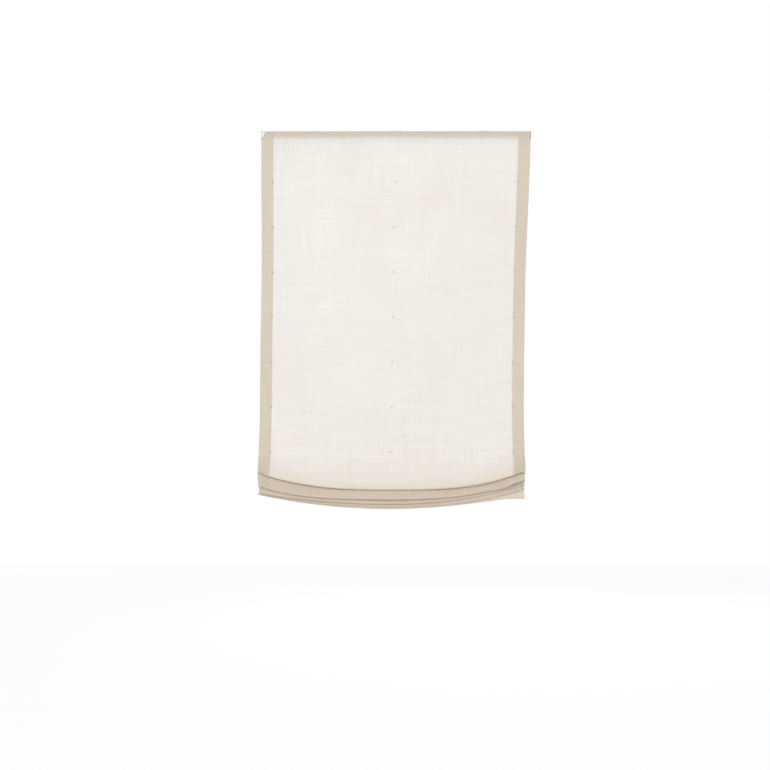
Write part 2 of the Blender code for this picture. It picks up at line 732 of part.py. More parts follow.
def spring_band():
    """The flat spring: it leaves one drum on a straight run and curls the other way on the next."""
    full, spare = OUTPUT_FLANGE - BAND_RIM, STORE_FLANGE - BAND_RIM
    full_turns = (full - OUTPUT_CORE - BAND_CLEAR) / BAND_PITCH
    spare_turns = (spare - STORE_CORE - BAND_CLEAR) / BAND_PITCH
    tip = math.acos((full + spare) / (STORE_Y - SHAFT_Y))
    path = []
    for first, last, turns, y, start, way in (
        (OUTPUT_CORE + BAND_CLEAR, full, full_turns, SHAFT_Y, tip + 2 * math.pi * full_turns, -1),
        (spare, STORE_CORE + BAND_CLEAR, spare_turns, STORE_Y, tip + math.pi, 1),
    ):
        count = round(turns * BAND_STEPS)
        for i in range(count + 1):
            radius = first + (last - first) * i / count
            angle = start + way * 2 * math.pi * turns * i / count
            path.append((y + radius * math.cos(angle), SHAFT_Z + radius * math.sin(angle)))
    bm = bmesh.new()
    edges = []
    for x in (MOTOR_X - BAND_HALF, MOTOR_X + BAND_HALF):
        edges.append([bm.verts.new((x, y, z)) for y, z in path])
    for k in range(len(path) - 1):
        bm.faces.new((edges[0][k], edges[0][k + 1], edges[1][k + 1], edges[1][k]))
    band = from_bmesh(bm, "spring_band")
    shell = band.modifiers.new("thickness", "SOLIDIFY")
    shell.thickness = BAND_THICK
    shell.offset = 0.0
    finish(band, SPRING_STEEL, 0.3, 1.0)


def tapes():
    back = TAPE_BACK
    zs = (TAPE_TOP - TAPE_HEIGHT, TAPE_TOP)
    xs = (-TAPE_HALF_LENGTH, TAPE_HALF_LENGTH)
    finish(box("hook_tape", xs, (back - TAPE_THICK, back), zs), TAPE, 0.95)
    back -= TAPE_THICK + GAP
    finish(box("loop_tape", xs, (back - TAPE_THICK, back), zs), TAPE, 0.95)


headrail()
end_cap("end_cap_left", -1)
end_cap("end_cap_right", 1)
for label, place in (("left", -BRACKET_X), ("centre", 0.0), ("right", BRACKET_X)):
    bracket(f"bracket_{label}", place)
tapes()
shade_fabric()
rings()
lift_shaft()
for label, sign in (("left", -1), ("centre", 0), ("right", 1)):
    spool_cradle(f"spool_cradle_{label}", sign)
    cord_spool(f"cord_spool_{label}", sign)
    lift_cord(f"lift_cord_{label}", sign)
    cord_orb(f"cord_orb_{label}", sign)
spring_motor()
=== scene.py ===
"""The looks of the roman shade: linen, hems, tacks, rings, cords, rail and lift."""
import math

import bmesh
import bpy
import numpy as np
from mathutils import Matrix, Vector
from mathutils.noise import noise


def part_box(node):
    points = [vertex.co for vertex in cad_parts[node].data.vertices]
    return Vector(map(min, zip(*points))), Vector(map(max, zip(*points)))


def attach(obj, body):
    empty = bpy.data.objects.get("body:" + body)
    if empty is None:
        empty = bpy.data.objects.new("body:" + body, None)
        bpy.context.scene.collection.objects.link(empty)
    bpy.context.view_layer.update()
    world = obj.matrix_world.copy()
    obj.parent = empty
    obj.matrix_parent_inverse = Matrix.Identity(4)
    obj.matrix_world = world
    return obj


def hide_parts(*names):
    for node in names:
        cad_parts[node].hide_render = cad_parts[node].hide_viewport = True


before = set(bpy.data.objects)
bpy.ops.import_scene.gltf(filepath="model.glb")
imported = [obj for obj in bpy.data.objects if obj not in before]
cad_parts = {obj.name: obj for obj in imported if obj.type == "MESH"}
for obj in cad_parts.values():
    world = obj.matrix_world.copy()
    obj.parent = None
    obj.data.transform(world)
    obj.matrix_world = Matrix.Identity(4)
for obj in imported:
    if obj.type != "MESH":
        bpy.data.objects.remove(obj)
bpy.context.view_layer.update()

# the cloth's shape in metres, as in the solid that it replaces
CLOTH_TOP = -0.0045
WAIST_PULL = 0.0089
WAIST_DEPTHS = (0.02, 0.53)
LOOP_FLARE = 0.0044
FLARE_DEPTHS = (0.95, 1.14)
STACK_SPREAD = 0.0051
CLOTH_HALF_TOP = 0.4545
CLOTH_HALF_WAIST = CLOTH_HALF_TOP - WAIST_PULL
CLOTH_HALF_LOOP = CLOTH_HALF_WAIST + LOOP_FLARE
CLOTH_HALF_STACK = CLOTH_HALF_WAIST + STACK_SPREAD
CLOTH_THICK = 0.0006
HEM_THICK = 0.0014
SIDE_HEM = 0.039
TOP_HEM = 0.026
BOTTOM_HEM = 0.051
# how far the top left corner is pulled in, and from where across the left half
CORNER_PULL = 0.015
CORNER_FROM = 0.875
# the cloth's middle drifts to the left, and a little more in the gathered stack
LEAN = -0.0145
LEAN_DEPTH = 1.083
LEAN_POWER = 1.3
STACK_SHIFT = -0.002
SHIFT_DEPTHS = (1.13, 1.165)

# rows and columns of rings
FIRST_ROW = 0.1745
ROW_PITCH = 0.1524
FLAT_ROWS = 7
STACK_ROWS = 3
ALL_ROWS = FLAT_ROWS + STACK_ROWS
LAST_FLAT = FIRST_ROW + (FLAT_ROWS - 1) * ROW_PITCH
STACK_TOP = LAST_FLAT + 0.1041
STACK_PITCH = 0.008
RING_RISE = 0.052
RING_RISE_POWER = 2.3
COLUMN_FROM_EDGE = 0.0375
COLUMNS = (("left", -1), ("centre", 0), ("right", 1))

# lines of the folds at the middle, below the stack's top ring: three loops, the tuck in the
# flap and the bottom edge, and how each one rises to the left and the right edge
LOOP_DROPS = (0.0209, 0.0541, 0.0703, 0.0812, 0.0880)
LOOP_RISE_LEFT = (0.0576, 0.0432, 0.0367, 0.0450, 0.0490)
LOOP_RISE_RIGHT = (0.0647, 0.0677, 0.0651, 0.0606, 0.0440)
LOOP_POWER_LEFT = (2.7, 3.15, 2.05, 2.2, 2.0)
LOOP_POWER_RIGHT = (3.05, 2.7, 2.1, 2.4, 1.7)
# place across the right half from which each line runs level
LEVEL_FROM = (0.965, 1.0, 1.0, 1.0, 0.87)
# the second loop sags before it kinks up to its right end
KINK_SAG = 0.005
KINK_START = (0.70, 0.86)
KINK_END = (0.862, 0.895)
# how much further forward a loop's turn stands, and where across the cloth
SIDE_LIFT = 0.0035
SIDE_LIFT_AT = (0.15, 0.5)
MIDDLE_LIFT = 0.004
MIDDLE_LIFT_AT = (0.05, 0.25)
KINK_LIFT = 0.011
KINK_LIFT_AT = (0.80, 0.90)
# how far each layer stands in front of the rings: front and back of each loop, then the
# three layers of the flap
LAYERS = ((0.0395, 0.0335), (0.0280, 0.0224), (0.0172, 0.0126), (0.0082, 0.0060, 0.0012))
TUCK_RISE = 0.014
FRONT_REACH = (0.16, 0.52, 0.92)
FRONT_DROP = (0.27, 0.54, 0.80)
FIRST_BACK = ((0.7, 0.0055), (0.3, 0.0035))
# height of the first loop's back above its ring, as a share of half the edge's height
BACK_FOOT = 0.8
# the way down from a ring to a loop's front, the way back up to the next ring, and the way
# from the last ring to the flap's front: shares of the reach and of half the edge's height
LOOP_TOP = ((0.0, -1.0), (0.0, 1.0), (0.55, 1.3), (1.0, 2.6))
LOOP_RETURN = ((1.0, 1.4), (0.6, -0.9))
FLAP_TOP = ((0.0, -1.0), (0.0, 1.0), (0.8, 1.6), (1.0, 4.8))
LAST_STRAIGHT = 0.010
EDGE_HALF = 0.0025
TURN_ABOVE = 0.006
TURN_CORNER = 0.0012
EDGE_SEAM = 0.001
# each fold's turn is tucked in at the cloth's two ends
END_TUCK_LEFT = 0.012
END_TUCK_RIGHT = 0.003
END_TUCK_FROM = 0.93
TURN_START = 0.4

# how far the first loop's front, its turn and the flap take the colour of layered cloth, which
# is partly painted shade of the folds
FRONT_FOLD_SHADE = (0.0, 0.10, 0.38)
TURN_FOLD_SHADE = (0.50, 1.0, 1.0)
FLAP_FOLD_SHADE = 1.0
# rows of the top hem: share of its height and how beige the row is, inside the side hems; the
# beige is partly painted shade of the rail behind the hem and fades down it
TOP_ROWS = ((0.0, 0.80), (0.4, 0.72), (0.7, 0.45), (0.85, 0.22), (1.0, 0.05))
SIDE_TOP = 0.85
# width over which a hem's edge steps down to the single cloth, and how exactly it is found
HEM_STEP = 0.0004
HEM_MATCH = 0.0002
# distance from the top hem to the next row
FIELD_START = 0.006

# spacing of the cloth's mesh: usual, in the hems and beside a tack
COARSE = 0.010
FINE = 0.0032
TACK_REACH = 0.010
LONGEST_ROW = 0.004
# share that rounding a chain of points cuts off each end of a span
CORNER_CUT = 0.25
# how far the cloth's edge bulges, as a share of its thickness
EDGE_BULGE = 0.45
SAME_POINT = 1e-6
CORNER_SIDES = 8

# slack waves: scale across and down, their heights and how much finer the second ones are
WAVE_SCALE = (5.0, 3.2)
WAVE_HEIGHTS = (0.0011, 0.0003)
WAVE_FINER = 4.3
# slack grows over this range below the rail, and is held by each tack and in the stack
SLACK_FROM = 0.03
SLACK_OVER = 0.08
TACK_CALM = 0.03
STACK_OVER = 0.03
STACK_CALM = 0.75
# a dimple at each tack and the pucker round it: depth or height, and radius
DIMPLE = (0.0007, 0.0035)
PUCKER = (0.00025, 0.012)
PUCKER_WAVES = 3
# creases pressed into the front layers: two ends (x, z), how deep and how wide
CREASES = (
    ((-0.454, -1.2020), (-0.423, -1.2155), 0.0020, 0.0024),
    ((-0.040, -1.2340), (0.149, -1.2330), 0.0018, 0.0030),
    ((-0.120, -1.2260), (-0.045, -1.2290), 0.0012, 0.0026),
    ((0.250, -1.2080), (0.372, -1.1880), 0.0018, 0.0028),
    ((0.395, -1.1890), (0.428, -1.1750), 0.0020, 0.0024),
)
# depth of a crease at its first end, and how fast it deepens along it
CREASE_START = 0.2
CREASE_GROWTH = 4

# planes that the cloth, rings and cords keep from the frame
GAP = 0.0003
CLOTH_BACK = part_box("loop_tape")[0].y - GAP
RING_RADIUS = 0.006
RING_WIRE = 0.00075
RING_Y = CLOTH_BACK + GAP + RING_RADIUS
# points round a ring and round its wire
RING_STEPS = (40, 12)

# spools and beads, as in the solids that they replace
SPOOL_HALF = 0.022
SPOOL_CORE = 0.0068
SPOOL_FLANGE = 0.0090
SPOOL_HUB = 0.0050
SPOOL_BORE = 0.0039
FLANGE_THICK = 0.0013
SPOOL_STEPS = 72
BEAD_BORE = 0.0009
BEAD_ARCS = 18
BEAD_STEPS = 40
# radii closer than this are the same
SAME_RADIUS = 1e-9

# tacks: the cross on the cloth's face, which sinks deeper in where the cloth is single
CROSS_HALF = (0.0019, 0.0017)
CROSS_BULGE = 0.00045
CROSS_SINK = 0.0002
SINGLE_CLOTH_SINK = 0.0002
CROSS_ARCS = 6
CROSS_THREAD = 0.0005
# tacks: the two loops round the ring
LOOP_SHIFTS = (-0.0005, 0.0005)
LOOP_BEHIND = 0.0008
LOOP_RADIUS = 0.0013
LOOP_STRETCH = 1.35
LOOP_ARCS = 12
LOOP_THREAD = 0.00025
TUBE_SIDES = 6

# bevels on hard edges: width, and the angles in degrees from which an edge is rounded
SOFT_EDGE = 0.0002
SOLID_ANGLE = 40
SPOOL_ANGLE = 35

# linen: what one face sends back, what it lets through and the share that goes through, on
# the field, on the layered hems and in the folds
FIELD_BACK = (0.940, 0.893, 0.838, 1.0)
FIELD_THROUGH = (0.931, 0.960, 0.970, 1.0)
FIELD_SHARE = 0.32
# painted shade: the hem colours are darker and warmer than the field, partly for the layered
# cloth and partly for the light that the layers hold back
HEM_SHADE_BACK = (0.892, 0.779, 0.635, 1.0)
HEM_SHADE_THROUGH = (0.664, 0.685, 0.678, 1.0)
HEM_SHARE = 0.36
# painted shade: the fold colours darken and warm the gathered stack, partly for its layers and
# partly for the shade between and behind them
FOLD_SHADE_BACK = (0.900, 0.765, 0.621, 1.0)
FOLD_SHADE_THROUGH = (0.791, 0.820, 0.830, 1.0)
# painted shade: beige just above the first fold, between field and folds, where the stack behind
# lets less light through
NEAR_SHADE_BACK = (0.965, 0.890, 0.785, 1.0)
NEAR_SHADE_THROUGH = (0.900, 0.920, 0.920, 1.0)
NEAR_SHADE_SHARE = -0.10
# thick yarns across and down: scale, detail, shift, range of the noise, how much they darken
SLUBS = (
    ((9, 520, 1), 3, 0.0, (0.55, 0.78), 0.05),
    ((520, 7, 1), 3, 4.0, (0.57, 0.80), 0.04),
)
# bands of yarn and clouds, both lighter and darker: the same five values
BANDS = (
    ((7, 190, 1), 2, 9.0, (0.35, 0.65), 0.012),
    ((190, 5, 1), 2, 13.0, (0.35, 0.65), 0.010),
    ((5, 4, 1), 3, 21.0, (0.30, 0.70), 0.010),
)
# the range that most of a noise lies in, and the way in which a shift moves it
NOISE_SPAN = (0.3, 0.7)
SHIFT_WAY = (1.0, 1.7, 0.6)
# a darker yarn is also warmer: powers of the tone for green and blue
GREEN_POWER = 1.12
BLUE_POWER = 1.35
YARN_PITCH = 0.0009
WEAVE_HEIGHT = 0.3
BRAID_PITCH = 0.0016

# the photograph's camera, and the room round the shade
CAMERA_AT = (-0.0372, -6.022, -0.8614)
CAMERA_SENSOR = 36.0
CAMERA_LENS = 82.9
WORLD_LEVEL = 0.50
# lamps: name, place, aim, size and power
LAMPS = (
    ("key", (-1.8, -4.6, 0.7), (0, 0, -0.7), 1.2, 85.0),
    ("fill", (2.6, -4.6, 0.2), (0, 0, -0.7), 1.6, 46.0),
    ("window side", (1.0, 4.6, 0.9), (0, 0, -0.7), 2.4, 85.0),
)
# the floor's colour for light that it sends on and for the camera, and how much white is
# added for the camera, over a range of distances from the shade
FLOOR_Z = -2.13
FLOOR_HALF = 40.0
FLOOR_BASE = 0.80
FLOOR_SEEN = 0.20
FLOOR_FADE = (4.6, 7.4)
FLOOR_LIFT = (0.825, 0.90)


def clamp(value):
    return min(1.0, max(0.0, value))


def ramp(value, low, high):
    """A smooth step from 0 at low to 1 at high."""
    t = clamp((value - low) / (high - low))
    return t * t * (3 - 2 * t)


def lean(depth):
    """How far the cloth's middle has drifted sideways at a depth below the window head."""
    turn = math.sin(math.pi / 2 * clamp(depth / LEAN_DEPTH))
    return LEAN * turn ** LEAN_POWER + STACK_SHIFT * ramp(depth, *SHIFT_DEPTHS)


def half_width(depth):
    """Half the panel's width: drawn in below the rail, a little wider above the loops."""
    top = WAIST_PULL * (1 - ramp(depth, *WAIST_DEPTHS))
    return CLOTH_HALF_WAIST + top + LOOP_FLARE * ramp(depth, *FLARE_DEPTHS)


def loop_depth(index, u):
    """Depth of a fold's line, which rises towards both edges."""
    rise, power = LOOP_RISE_LEFT[index], LOOP_POWER_LEFT[index]
    if u > 0:
        rise, power = LOOP_RISE_RIGHT[index], LOOP_POWER_RIGHT[index]
        u = min(u, LEVEL_FROM[index])
    depth = STACK_TOP + LOOP_DROPS[index] - rise * abs(u) ** power
    if index == 1:
        depth += KINK_SAG * ramp(u, *KINK_START) * (1 - ramp(u, *KINK_END))
    return depth


def ring_depth(row, u):
    """Depth of a row of rings: level on the panel, rising to the edges in the stack."""
    if row < FLAT_ROWS:
        return FIRST_ROW + row * ROW_PITCH
    stacked = STACK_TOP + (row - FLAT_ROWS) * STACK_PITCH
    return stacked - RING_RISE * abs(u) ** RING_RISE_POWER


def column_place(sign, row):
    """X and depth of one ring."""
    edge = CLOTH_HALF_WAIST if row < FLAT_ROWS else CLOTH_HALF_STACK
    u = sign * (1 - COLUMN_FROM_EDGE / edge)
    depth = ring_depth(row, u)
    half = half_width(depth) if row < FLAT_ROWS else CLOTH_HALF_STACK
    return lean(depth) + half * u, depth


def loop_lift(index, u):
    """How much further a loop's turn stands off: the first at its sides, the second between."""
    if index == 0:
        return SIDE_LIFT * ramp(abs(u), *SIDE_LIFT_AT)
    if index == 1:
        middle = MIDDLE_LIFT * (1 - ramp(abs(u), *MIDDLE_LIFT_AT))
        return middle + KINK_LIFT * ramp(u, *KINK_LIFT_AT)
    return 0.0


def fold_turn(out, back, low, lift=0.0, way=1):
    """Three points round a fold's turn: forward, depth, front layer, share of the tuck."""
    out, back = out + lift, back + lift
    return [
        (out, low - way * TURN_ABOVE, 1.0, TURN_START),
        ((out + back) / 2, low + way * TURN_CORNER, 0.5, 1.0),
        (back, low - way * TURN_ABOVE, 0.0, TURN_START),
    ]


def first_loop(u):
    """The panel's foot and the first loop, as rows of fold_points up to the loop's back."""
    last = LAST_FLAT
    low = loop_depth(0, u)
    out, back = LAYERS[0]
    half = CLOTH_HALF_LOOP
    points = [(0.0, last + y, half_width(last), 1.0, 0.0, 0.0) for y in (0.0, LAST_STRAIGHT)]
    for reach, drop, dark in zip(FRONT_REACH, FRONT_DROP, FRONT_FOLD_SHADE):
        points.append((reach * out, last + drop * (low - last), half, 1.0, dark, 0.0))
    turn = fold_turn(out, back, low, loop_lift(0, u))
    for (forward, depth, front, tuck), dark in zip(turn, TURN_FOLD_SHADE):
        points.append((forward, depth, half, front, dark, tuck))
    foot = ring_depth(FLAT_ROWS, u) + BACK_FOOT * EDGE_HALF
    points.append((back, foot, half, 0.0, 1.0, 0.0))
    return points


def lower_loops(u):
    """From the first loop's back to the last ring: forward, depth, front layer, tuck."""
    ring = ring_depth(FLAT_ROWS, u)
    back = LAYERS[0][1]
    points = [(share * back, ring - rise, 0.0, 0.0) for share, rise in FIRST_BACK]
    for index in (1, 2):
        low = loop_depth(index, u)
        out, back = LAYERS[index]
        for share, y in LOOP_TOP:
            points.append((share * out, ring + y * EDGE_HALF, float(share == 1), 0.0))
        points += fold_turn(out, back, low, loop_lift(index, u))
        ring = ring_depth(FLAT_ROWS + index, u)
        points += [(share * back, ring + y * EDGE_HALF, 0.0, 0.0) for share, y in LOOP_RETURN]
    return points


def flap(u):
    """From the last ring to the bottom edge: forward, depth, front layer, tuck."""
    ring = ring_depth(FLAT_ROWS + STACK_ROWS - 1, u)
    low, end = loop_depth(3, u), loop_depth(4, u)
    out, back, rear = LAYERS[3]
    points = [(share * out, ring + y * EDGE_HALF, 1.0, 0.0) for share, y in FLAP_TOP]
    points += fold_turn(out, back, low)
    points += fold_turn(back, rear, low - TUCK_RISE, way=-1)
    return points + [(rear, end - EDGE_SEAM, 1.0, 0.0), (rear, end, 1.0, 0.0)]


def fold_points(u):
    """Side view of the gathered cloth at u across it.

    Each row is forward, depth, half width, front layer, how much of the folds' painted shade it
    takes, share of the tuck.
    """
    points = first_loop(u)
    for rows, dark in ((lower_loops(u), 1.0), (flap(u), FLAP_FOLD_SHADE)):
        for forward, depth, front, tuck in rows:
            points.append((forward, depth, CLOTH_HALF_STACK, front, dark, tuck))
    return np.array(points)


def softened(points):
    """Cuts the corners of a chain once, and keeps its two ends."""
    near = points[:-1] * (1 - CORNER_CUT) + points[1:] * CORNER_CUT
    far = points[:-1] * CORNER_CUT + points[1:] * (1 - CORNER_CUT)
    inner = np.stack((near, far), axis=1).reshape(-1, points.shape[1])
    return np.vstack((points[:1], inner, points[-1:]))


def spaced(low, high, marks):
    """Places from low to high, close together beside each mark and wider elsewhere."""
    places = [low]
    while places[-1] < high:
        here = places[-1]
        near = any(mark - TACK_REACH < here < mark + TACK_REACH for mark in marks)
        places.append(here + (FINE if near else COARSE))
    stretch = (high - low) / (places[-1] - low)
    return [low + (place - low) * stretch for place in places]


def across():
    """Columns from -1 to 1, with a close pair at each side hem's inner edge."""
    half = CLOTH_HALF_WAIST
    hem = half - SIDE_HEM
    count = round(SIDE_HEM / FINE)
    side = [half - SIDE_HEM * i / count for i in range(count)] + [hem]
    inner = spaced(-hem + HEM_STEP, hem - HEM_STEP, (-hem, 0.0, hem))
    return np.array([-x for x in side] + inner + side[::-1]) / half


def cloth_grid():
    """Back face of the cloth, with each point's marks for front layers and for the folds'
    painted shade.
    """
    us = across()
    start = -CLOTH_TOP
    flat = [start + TOP_HEM * share for share, _ in TOP_ROWS]
    flat.append(start + TOP_HEM + HEM_STEP)
    tack_rows = [ring_depth(row, 0) for row in range(FLAT_ROWS)]
    flat += spaced(start + TOP_HEM + FIELD_START, LAST_FLAT, tack_rows)[:-1]
    folds = [softened(softened(fold_points(u))) for u in us]
    spans = [np.linalg.norm(np.diff(fold[:, :2], axis=0), axis=1) for fold in folds]
    pieces = np.ceil(np.max(spans, axis=0) / LONGEST_ROW).astype(int)
    places, marks = [], []
    for u, fold in zip(us, folds):
        side = [np.array((0.0, d, half_width(d), 1.0, 0.0, 0.0)) for d in flat]
        for a, b, n in zip(fold, fold[1:], pieces):
            side += [a + (b - a) * i / n for i in range(n)]
        side.append(fold[-1])
        column = []
        drawn = END_TUCK_LEFT if u < 0 else -END_TUCK_RIGHT
        drawn *= ramp(abs(u), END_TUCK_FROM, 1.0)
        corner = clamp((-u - CORNER_FROM) / (1 - CORNER_FROM))
        for forward, depth, half, _, _, tuck in side:
            pull = CORNER_PULL * clamp(1 - (depth - start) / TOP_HEM) * corner
            x = lean(depth) + half * u + pull + drawn * tuck
            column.append((x, CLOTH_BACK - forward, -depth))
        places.append(column)
        marks.append([point[3:5] for point in side])
    return us, np.array(places), np.array(marks)


def grid_normals(grid):
    """Unit normals of a grid of points, towards the room on the flat panel."""
    normals = np.cross(np.gradient(grid, axis=0), np.gradient(grid, axis=1))
    normals /= np.linalg.norm(normals, axis=2, keepdims=True)
    on_panel = normals[len(normals) // 2, len(TOP_ROWS)]
    return normals if on_panel[1] < 0 else -normals


def crease_depth(x, z):
    """How far the creases press in at a place seen from the front."""
    total = np.zeros_like(x)
    for (x0, z0), (x1, z1), deep, wide in CREASES:
        run, fall = x1 - x0, z1 - z0
        along = ((x - x0) * run + (z - z0) * fall) / (run ** 2 + fall ** 2)
        near = np.clip(along, 0, 1)
        gap = np.hypot(x - x0 - near * run, z - z0 - near * fall)
        deepens = np.clip(CREASE_GROWTH * near + CREASE_START, 0, 1)
        total += deep * np.exp(-((gap / wide) ** 2)) * deepens
    return total


def waves(places, fronts):
    """Slack in the cloth: soft waves, tack puckers and pressed creases, along the normal."""
    x, z = places[..., 0], places[..., 2]
    slack = np.zeros_like(x)
    for i, k in np.ndindex(x.shape):
        at = Vector((x[i, k] * WAVE_SCALE[0], z[i, k] * WAVE_SCALE[1], 0.0))
        slack[i, k] = WAVE_HEIGHTS[0] * noise(at) + WAVE_HEIGHTS[1] * noise(at * WAVE_FINER)
    held = np.ones_like(x)
    pucker = np.zeros_like(x)
    for _, sign in COLUMNS:
        for row in range(FLAT_ROWS):
            tack_x, depth = column_place(sign, row)
            away = np.hypot(x - tack_x, z + depth)
            angle = np.arctan2(z + depth, x - tack_x)
            ripple = np.cos(PUCKER_WAVES * angle + row)
            held *= 1 - np.exp(-((away / TACK_CALM) ** 2))
            pucker -= DIMPLE[0] * np.exp(-((away / DIMPLE[1]) ** 2))
            pucker += PUCKER[0] * np.exp(-((away / PUCKER[1]) ** 2)) * ripple
    top = np.clip((-z - SLACK_FROM) / SLACK_OVER, 0, 1)
    stack = np.clip((-z - LAST_FLAT) / STACK_OVER, 0, 1)
    slack = slack * held * top * (1 - STACK_CALM * stack)
    return slack + pucker - fronts * crease_depth(x, z) * stack


def hem_zones(us, length):
    """Where the cloth lies double in its hems, and how beige each place looks: partly the
    layered cloth, partly painted shade.
    """
    side = np.abs(us) >= 1 - SIDE_HEM / CLOTH_HALF_WAIST - HEM_MATCH
    hemmed = np.zeros((len(us), len(length)))
    hemmed[side, :] = 1.0
    hemmed[:, :len(TOP_ROWS)] = 1.0
    hemmed[:, length > length[-1] - BOTTOM_HEM] = 1.0
    layered_shade_grid = hemmed.copy()
    for k, (_, tone) in enumerate(TOP_ROWS):
        layered_shade_grid[:, k] = np.where(side, max(tone, SIDE_TOP), tone)
    return hemmed, layered_shade_grid


def face_quads(number, count):
    """The front's faces, and the rear's, which are wound the other way."""
    faces = []
    for left, right in zip(number, number[1:]):
        for a, b, c, d in zip(left, left[1:], right[1:], right):
            faces += [(a, b, c, d), (d + count, c + count, b + count, a + count)]
    return faces


def linen_cloth():
    """The cloth as a closed sheet, its front smooth and its hems turned to the back."""
    us, back, marks = cloth_grid()
    middle_steps = np.linalg.norm(np.diff(back[len(us) // 2], axis=0), axis=1)
    length = np.concatenate(((0.0,), np.cumsum(middle_steps)))
    hemmed, layered_shade_grid = hem_zones(us, length)
    thick = CLOTH_THICK + (HEM_THICK - CLOTH_THICK) * hemmed
    normal = grid_normals(back)
    front = back + normal * (HEM_THICK + waves(back, marks[..., 0]))[..., None]
    rear = front - normal * thick[..., None]
    flat = np.zeros_like(back)
    flat[..., 0] = us[:, None] * CLOTH_HALF_WAIST
    flat[..., 1] = -length[None, :]

    rows = len(length)
    count = len(us) * rows
    number = np.arange(count).reshape(len(us), rows)
    verts = [*front.reshape(-1, 3), *rear.reshape(-1, 3)]
    flats = [*flat.reshape(-1, 3)] * 2
    layered_shade_values = [*layered_shade_grid.ravel()] * 2
    folds = [*marks[..., 1].ravel()] * 2
    faces = face_quads(number, count)
    # round the four edges with a line of points between the two faces
    outwards, downwards = np.gradient(back, axis=0), np.gradient(back, axis=1)
    edges = (
        (number[0, ::-1], -outwards), (number[-1, :], outwards),
        (number[:, 0], -downwards), (number[::-1, -1], downwards),
    )
    for line, ways in edges:
        first = len(verts)
        for n in line:
            i, k = divmod(int(n), rows)
            way = Vector(ways[i, k]).normalized()
            middle = (Vector(verts[n]) + Vector(verts[n + count])) / 2
            verts.append(middle + way * EDGE_BULGE * float(thick[i, k]))
            flats.append(flats[n])
            layered_shade_values.append(1.0)
            folds.append(folds[n])
        made = range(first, len(verts))
        for a, b, c, d in zip(line, line[1:], made[1:], made):
            faces += [(a, b, c, d), (d, c, b + count, a + count)]

    mesh = bpy.data.meshes.new("linen_cloth")
    mesh.from_pydata([tuple(v) for v in verts], [], [tuple(map(int, f)) for f in faces])
    place = mesh.attributes.new("flat_place", "FLOAT_VECTOR", "POINT")
    place.data.foreach_set("vector", np.array(flats, dtype=np.float32).ravel())
    # the hem and fold marks set how much of the painted shade of hems and folds each point takes
    for name, values in (("hem", layered_shade_values), ("fold", folds)):
        zone = mesh.attributes.new(name, "FLOAT", "POINT")
        zone.data.foreach_set("value", np.array(values, dtype=np.float32))
    bm = bmesh.new()
    bm.from_mesh(mesh)
    bmesh.ops.remove_doubles(bm, verts=bm.verts, dist=SAME_POINT)
    open_edges = [edge for edge in bm.edges if edge.is_boundary]
    bmesh.ops.holes_fill(bm, edges=open_edges, sides=CORNER_SIDES)
    bmesh.ops.recalc_face_normals(bm, faces=bm.faces)
    bm.to_mesh(mesh)
    bm.free()
    mesh.polygons.foreach_set("use_smooth", [True] * len(mesh.polygons))
    obj = bpy.data.objects.new("linen_cloth", mesh)
    bpy.context.scene.collection.objects.link(obj)
    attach(obj, "shade")
    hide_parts("shade_fabric")
    return obj


class Nodes:
    """A tree of shader nodes, with short calls to add and join them."""

    def __init__(self, tree):
        self.nodes = tree.nodes
        self.links = tree.links

    def add(self, kind, settings=(), **inputs):
        made = self.nodes.new("ShaderNode" + kind)
        for key, value in dict(settings).items():
            setattr(made, key, value)
        for key, value in inputs.items():
            self.feed(made.inputs[key.replace("_", " ")], value)
        return made

    def feed(self, socket, value):
        if isinstance(value, bpy.types.NodeSocket):
            self.links.new(value, socket)
        else:
            socket.default_value = value

    def math(self, operation, a, b=0.0):
        made = self.add("Math", {"operation": operation})
        self.feed(made.inputs[0], a)
        self.feed(made.inputs[1], b)
        return made.outputs[0]

    def span(self, value, low, high, to_low=0.0, to_high=1.0):
        """Maps the range from low to high to another one, from 0 to 1 if none is given."""
        made = self.add("MapRange", Value=value, From_Min=low, From_Max=high,
                        To_Min=to_low, To_Max=to_high)
        return made.outputs[0]

    def mix(self, factor, a, b, blend="MIX"):
        """A mix of two colours, which are inputs 6 and 7 and output 2 of a mix node."""
        made = self.add("Mix", {"data_type": "RGBA", "blend_type": blend})
        for index, value in ((0, factor), (6, a), (7, b)):
            self.feed(made.inputs[index], value)
        return made.outputs[2]


